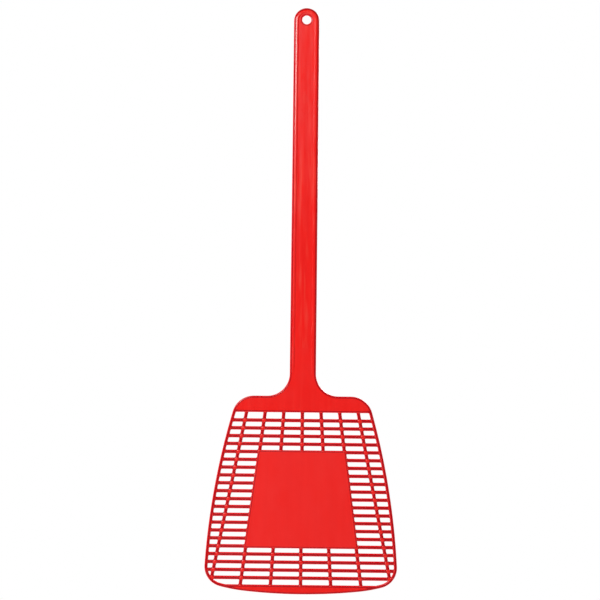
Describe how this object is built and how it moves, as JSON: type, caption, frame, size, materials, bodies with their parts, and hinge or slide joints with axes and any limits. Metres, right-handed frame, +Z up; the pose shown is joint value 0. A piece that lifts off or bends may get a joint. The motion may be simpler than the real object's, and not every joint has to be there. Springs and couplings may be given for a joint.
{
  "type": "fly swatter",
  "caption": "Flexible moulded plastic fly swatter: flat rimmed handle with a hang hole, and a flared head with a fan-ribbed grille around a solid centre panel.",
  "frame": {"origin": "centre of the hang hole, in the middle of the handle's thickness", "axes": "+Z up along the handle towards its rounded end, so the head hangs down; +X across the head, to the right as seen from the front; -Y out of the front face"},
  "size_m": [0.1412, 0.0036, 0.43],
  "materials": {
    "red_plastic": "glossy injection-moulded plastic with faint flow lines"
  },
  "bodies": {
    "handle": {"hang_eye": "red_plastic", "grip_web": "red_plastic", "grip_rim_left": "red_plastic", "grip_rim_right": "red_plastic", "flex_section": "red_plastic"},
    "head": {"shaft_web": "red_plastic", "shaft_rim_left": "red_plastic", "shaft_rim_right": "red_plastic", "neck_plate": "red_plastic", "side_rail_left": "red_plastic", "side_rail_right": "red_plastic", "tip_band": "red_plastic", "centre_panel": "red_plastic", "rib_1": "red_plastic", "rib_7": "red_plastic", "rib_2_upper": "red_plastic", "rib_3_upper": "red_plastic", "rib_4_upper": "red_plastic", "rib_5_upper": "red_plastic", "rib_6_upper": "red_plastic", "rib_2_lower": "red_plastic", "rib_3_lower": "red_plastic", "rib_4_lower": "red_plastic", "rib_5_lower": "red_plastic", "rib_6_lower": "red_plastic", "bar_01": "red_plastic", "bar_02": "red_plastic", "bar_03": "red_plastic", "bar_04": "red_plastic", "bar_18": "red_plastic", "bar_19": "red_plastic", "bar_20": "red_plastic", "bar_21": "red_plastic", "bar_05_left": "red_plastic", "bar_06_left": "red_plastic", "bar_07_left": "red_plastic", "bar_08_left": "red_plastic", "bar_09_left": "red_plastic", "bar_10_left": "red_plastic", "bar_11_left": "red_plastic", "bar_12_left": "red_plastic", "bar_13_left": "red_plastic", "bar_14_left": "red_plastic", "bar_15_left": "red_plastic", "bar_16_left": "red_plastic", "bar_17_left": "red_plastic", "bar_05_right": "red_plastic", "bar_06_right": "red_plastic", "bar_07_right": "red_plastic", "bar_08_right": "red_plastic", "bar_09_right": "red_plastic", "bar_10_right": "red_plastic", "bar_11_right": "red_plastic", "bar_12_right": "red_plastic", "bar_13_right": "red_plastic", "bar_14_right": "red_plastic", "bar_15_right": "red_plastic", "bar_16_right": "red_plastic", "bar_17_right": "red_plastic"}
  },
  "joints": [
    {"name": "shaft_flex", "type": "hinge", "parent": "handle", "child": "head", "pos_m": [0, 0, -0.165], "axis": [1, 0, 0], "range_deg": [-20, 20], "stiffness_Nm_per_rad": 0.32, "deforming": ["flex_section"]}
  ]
}
